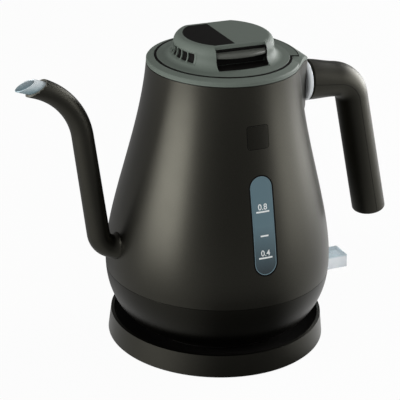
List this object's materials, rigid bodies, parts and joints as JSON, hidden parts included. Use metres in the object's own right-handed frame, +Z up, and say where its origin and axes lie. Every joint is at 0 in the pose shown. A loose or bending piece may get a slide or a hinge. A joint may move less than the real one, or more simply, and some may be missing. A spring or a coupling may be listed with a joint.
{
  "type": "electric gooseneck kettle",
  "caption": "Electric kettle with a curved pouring spout, side water gauge, pinch-latch vented lid, open handle and power lever, lifting off a round power base.",
  "frame": {"origin": "on the floor at the centre of the power base, under the axis of the body", "axes": "+Z up along the body's axis, +X towards the handle, -X towards the spout, -Y towards the water gauge"},
  "size_m": [0.2722, 0.1536, 0.216],
  "materials": {
    "brown_metal": "satin",
    "brown_plastic": "satin",
    "black_plastic": "matte",
    "black_gloss": "gloss",
    "grey_green_plastic": "satin",
    "steel": "brushed",
    "silver": "satin",
    "aluminium": "cast",
    "brass": "satin",
    "rubber": "matte",
    "seal": "matte",
    "smoke_clear": "gloss",
    "pale_clear": "gloss",
    "white_plastic": "matte",
    "element_metal": "matte"
  },
  "bodies": {
    "power_base": {"base_shell": "brown_metal", "base_tray": "black_plastic", "base_plate": "black_plastic", "base_connector": "black_plastic", "base_contacts": "brass", "rubber_feet": "rubber", "base_screws": "steel", "cord_gland": "black_plastic"},
    "kettle_socket": {"kettle_connector": "black_plastic"},
    "kettle": {"lower_cover": "brown_plastic", "cover_screws": "steel", "outer_body": "brown_metal", "inner_vessel": "steel", "vessel_seal": "seal", "shoulder_ring": "grey_green_plastic", "gauge_window": "smoke_clear", "window_gasket": "rubber", "spout_cover": "brown_metal", "spout_tube": "steel", "spout_seal": "rubber", "handle_collar": "silver", "handle_outer_shell": "brown_plastic", "handle_inner_shell": "brown_plastic", "handle_screws": "steel", "heater_plate": "aluminium", "heating_element": "element_metal", "control_unit": "white_plastic", "indicator_lamp": "pale_clear", "lever_pin": "steel", "steam_tube": "steel"},
    "lid": {"lid_shell": "grey_green_plastic", "vent_grille": "grey_green_plastic", "lid_plug": "grey_green_plastic", "lid_gasket": "seal", "lid_screws": "steel", "near_spring": "steel", "far_spring": "steel"},
    "near_button": {"near_button": "black_gloss"},
    "far_button": {"far_button": "black_gloss"},
    "power_lever": {"power_lever": "pale_clear"}
  },
  "joints": [
    {"name": "kettle_lift", "type": "slide", "parent": "power_base", "child": "kettle_socket", "axis": [0, 0, 1], "range_m": [0, 0.06]},
    {"name": "kettle_swivel", "type": "hinge", "parent": "kettle_socket", "child": "kettle", "pos_m": [0, 0, 0], "axis": [0, 0, 1], "continuous": true},
    {"name": "lid_lift", "type": "slide", "parent": "kettle", "child": "lid", "axis": [0, 0, 1], "range_m": [0, 0.05]},
    {"name": "near_press", "type": "slide", "parent": "lid", "child": "near_button", "axis": [0, 1, 0], "range_m": [0, 0.003], "stiffness_N_per_m": 400, "springref_m": -0.003, "deforming": ["near_spring"]},
    {"name": "far_press", "type": "slide", "parent": "lid", "child": "far_button", "axis": [0, -1, 0], "range_m": [0, 0.003], "stiffness_N_per_m": 400, "springref_m": -0.003, "deforming": ["far_spring"]},
    {"name": "lever_press", "type": "hinge", "parent": "kettle", "child": "power_lever", "pos_m": [0.06601, 0, 0.038], "axis": [0, 1, 0], "range_deg": [0, 10], "stiffness_Nm_per_rad": 0.05, "springref_deg": -5.73}
  ]
}
